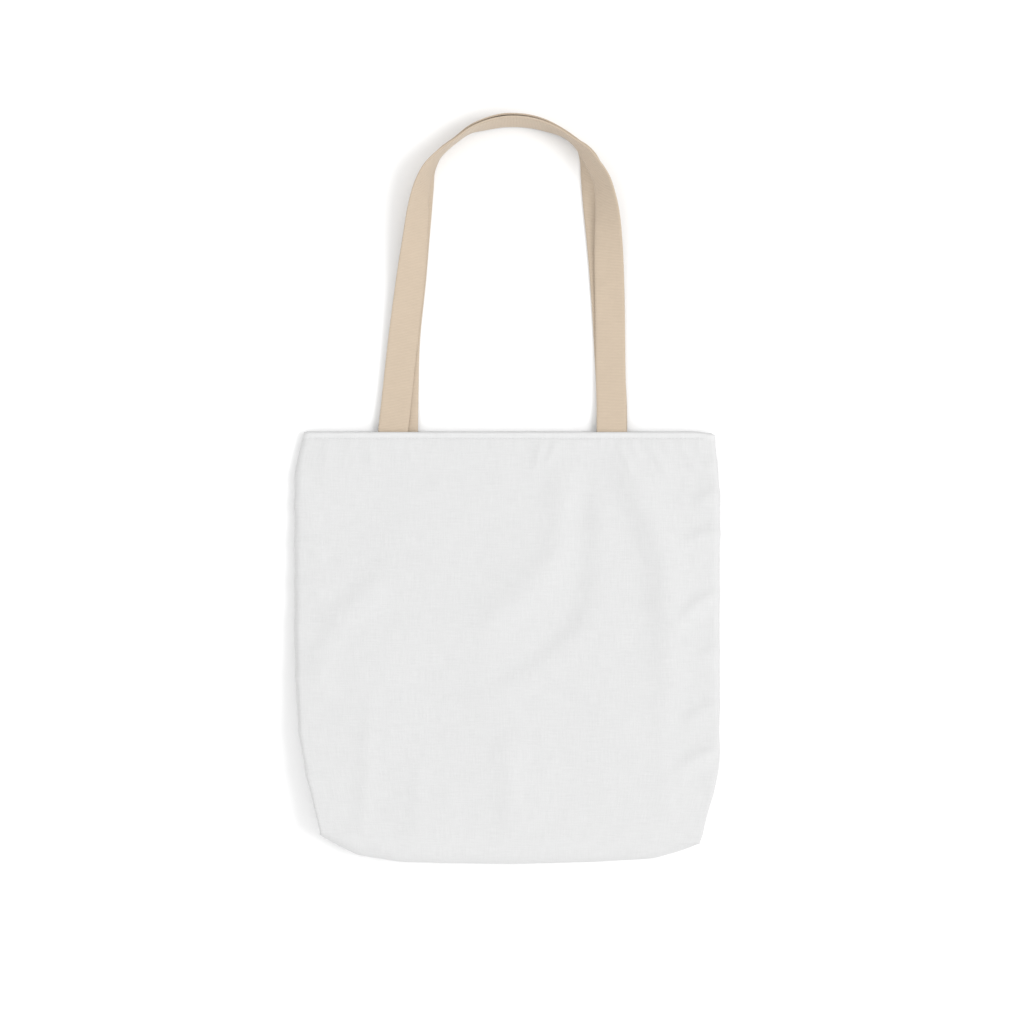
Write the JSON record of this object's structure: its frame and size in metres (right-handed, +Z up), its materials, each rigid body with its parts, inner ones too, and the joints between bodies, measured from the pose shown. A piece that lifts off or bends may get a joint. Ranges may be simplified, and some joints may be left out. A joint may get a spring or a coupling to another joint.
{
  "type": "canvas tote bag",
  "caption": "Open-top canvas tote bag with a boxed bottom and webbing carry handles sewn inside the mouth hem, laid flat on its back.",
  "frame": {"origin": "centre of the bounding box on the surface the bag lies on, under its back panel", "axes": "+X across the bag to its right side, +Y from the boxed bottom towards the handles, +Z up out of the front panel"},
  "size_m": [0.3612, 0.6396, 0.036],
  "materials": {
    "canvas": "matte",
    "webbing": "matte",
    "thread": "matte"
  },
  "bodies": {
    "bag": {"back_panel": "canvas", "back_hem": "canvas", "back_hem_stitching": "thread", "left_side_seam": "canvas", "right_side_seam": "canvas", "left_corner_seam": "canvas", "right_corner_seam": "canvas", "back_left_handle_end": "webbing", "back_right_handle_end": "webbing"},
    "front": {"front_panel": "canvas", "front_hem": "canvas", "front_hem_stitching": "thread", "front_left_handle_end": "webbing", "front_right_handle_end": "webbing"},
    "front_handle": {"front_handle": "webbing"},
    "back_handle": {"back_handle": "webbing"}
  },
  "joints": [
    {"name": "mouth_open", "type": "hinge", "parent": "bag", "child": "front", "pos_m": [0, -0.3196, 0.018], "axis": [1, 0, 0], "range_deg": [0, 8]},
    {"name": "front_handle_swing", "type": "hinge", "parent": "front", "child": "front_handle", "pos_m": [0, 0.04805, 0.00955], "axis": [1, 0, 0], "range_deg": [0, 165]},
    {"name": "back_handle_swing", "type": "hinge", "parent": "bag", "child": "back_handle", "pos_m": [0, 0.04805, 0.00225], "axis": [1, 0, 0], "range_deg": [-165, 0]}
  ]
}
